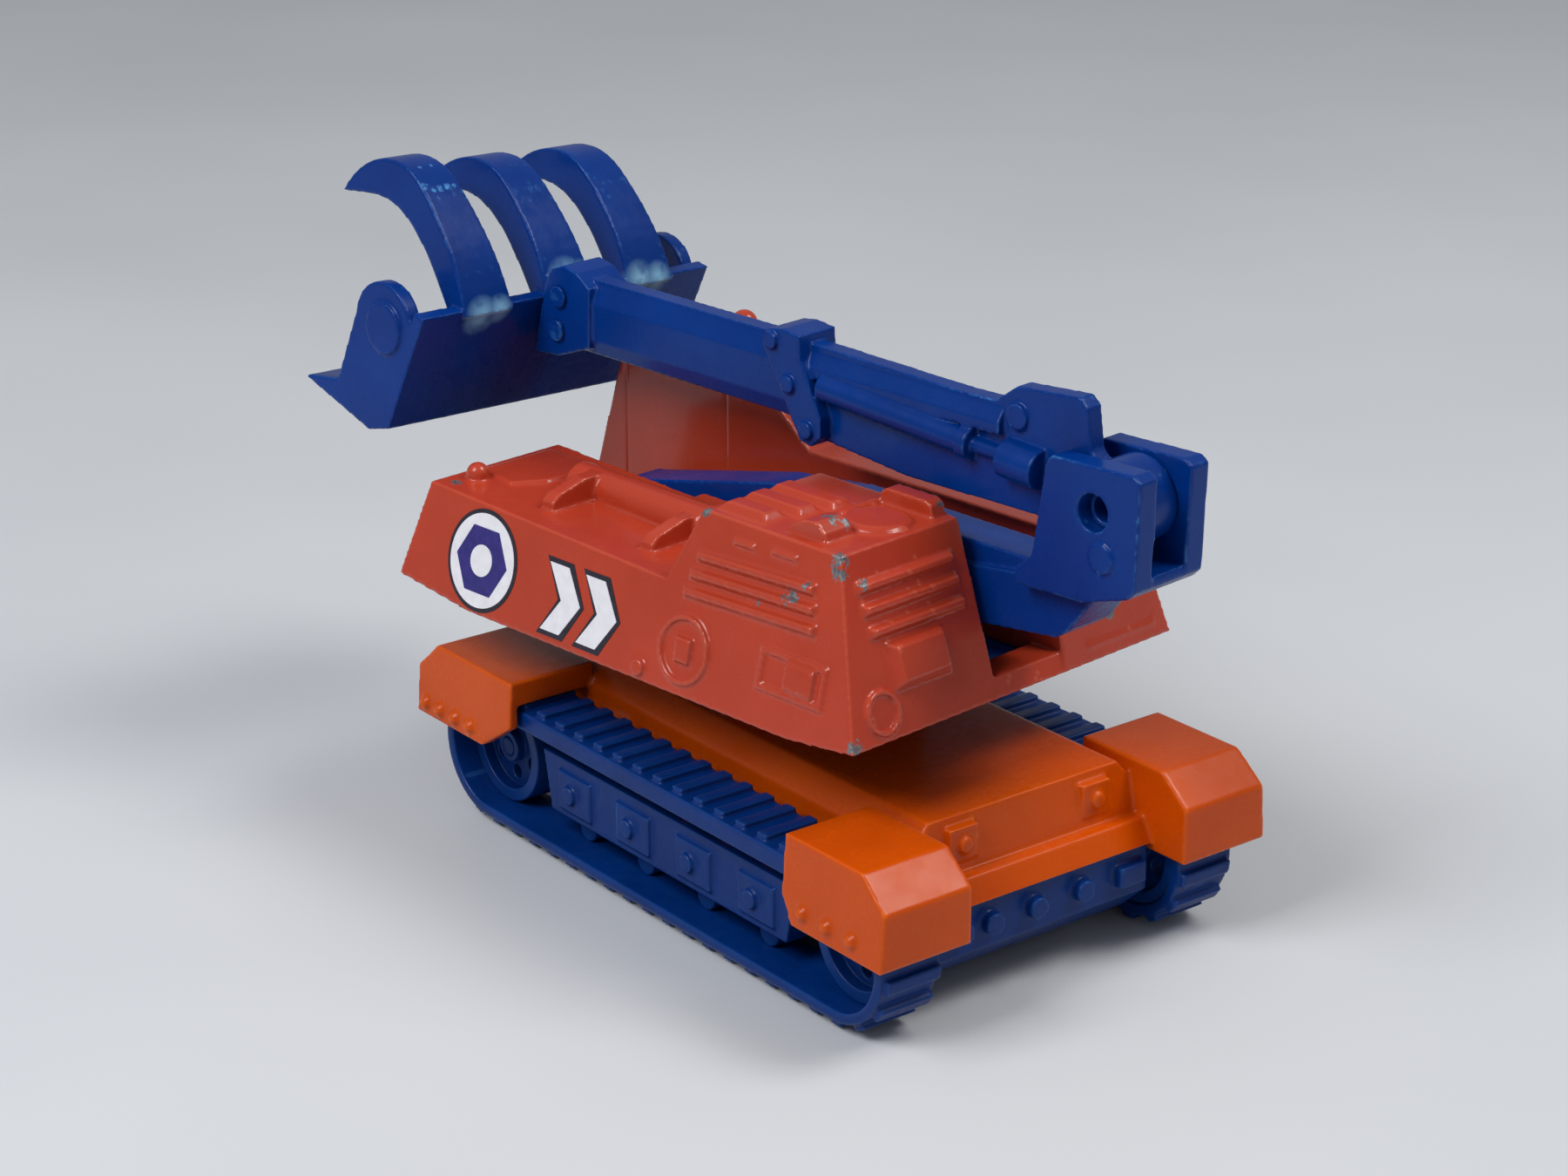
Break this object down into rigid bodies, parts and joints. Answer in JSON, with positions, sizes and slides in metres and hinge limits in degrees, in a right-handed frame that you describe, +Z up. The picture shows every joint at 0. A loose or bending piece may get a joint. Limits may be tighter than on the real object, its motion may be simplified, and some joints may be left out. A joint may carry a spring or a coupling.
{
  "type": "toy excavator",
  "caption": "Small die-cast toy excavator on moulded tracks, with a swivelling upper body, a folding arm and a bucket with a toothed grab.",
  "frame": {"origin": "middle of the whole toy's bounding box, at the floor under the wheels", "axes": "+X forward along the undercarriage, towards the elbow of the folded arm; +Y to the left; +Z up"},
  "size_m": [0.0704, 0.035, 0.0448],
  "materials": {
    "orange_plastic": "glossy slightly translucent moulded plastic",
    "blue_plastic": "glossy moulded plastic",
    "red_paint": "gloss paint on zinc die-casting, chipped at edges",
    "steel": "plain turned steel",
    "dark_glazing": "dark tinted plastic"
  },
  "bodies": {
    "chassis": {"chassis_deck": "orange_plastic", "base_pan": "blue_plastic", "right_track_band": "blue_plastic", "left_track_band": "blue_plastic", "right_track_frame": "blue_plastic", "left_track_frame": "blue_plastic", "right_front_track_wheel": "blue_plastic", "right_rear_track_wheel": "blue_plastic", "left_front_track_wheel": "blue_plastic", "left_rear_track_wheel": "blue_plastic", "right_rollers": "blue_plastic", "left_rollers": "blue_plastic", "swivel_rivet": "steel", "base_screws": "steel"},
    "front_wheelset": {"front_axle": "steel", "front_wheels": "blue_plastic"},
    "rear_wheelset": {"rear_axle": "steel", "rear_wheels": "blue_plastic"},
    "upper": {"upper_casting": "red_paint", "floor_plate": "blue_plastic", "boom_pin": "steel", "cab_glazing": "dark_glazing", "floor_screws": "steel"},
    "boom": {"boom": "blue_plastic", "elbow_pin": "blue_plastic"},
    "stick": {"stick": "blue_plastic", "bucket": "blue_plastic", "bucket_pins": "blue_plastic"}
  },
  "joints": [
    {"name": "swivel", "type": "hinge", "parent": "chassis", "child": "upper", "pos_m": [0.00636, 0.00049, 0.0173], "axis": [0, 0, 1], "continuous": true},
    {"name": "boom_pivot", "type": "hinge", "parent": "upper", "child": "boom", "pos_m": [-0.01214, -0.00056, 0.0213], "axis": [0.1132, -0.9936, 0], "range_deg": [-3, 50]},
    {"name": "elbow", "type": "hinge", "parent": "boom", "child": "stick", "pos_m": [0.03118, 0.00438, 0.0324], "axis": [-0.1132, 0.9936, 0], "range_deg": [0, 120]},
    {"name": "front_wheels_roll", "type": "hinge", "parent": "chassis", "child": "front_wheelset", "pos_m": [0.01936, 0.00049, 0.003], "axis": [0, 1, 0], "continuous": true},
    {"name": "rear_wheels_roll", "type": "hinge", "parent": "chassis", "child": "rear_wheelset", "pos_m": [-0.00664, 0.00049, 0.003], "axis": [0, 1, 0], "continuous": true}
  ]
}
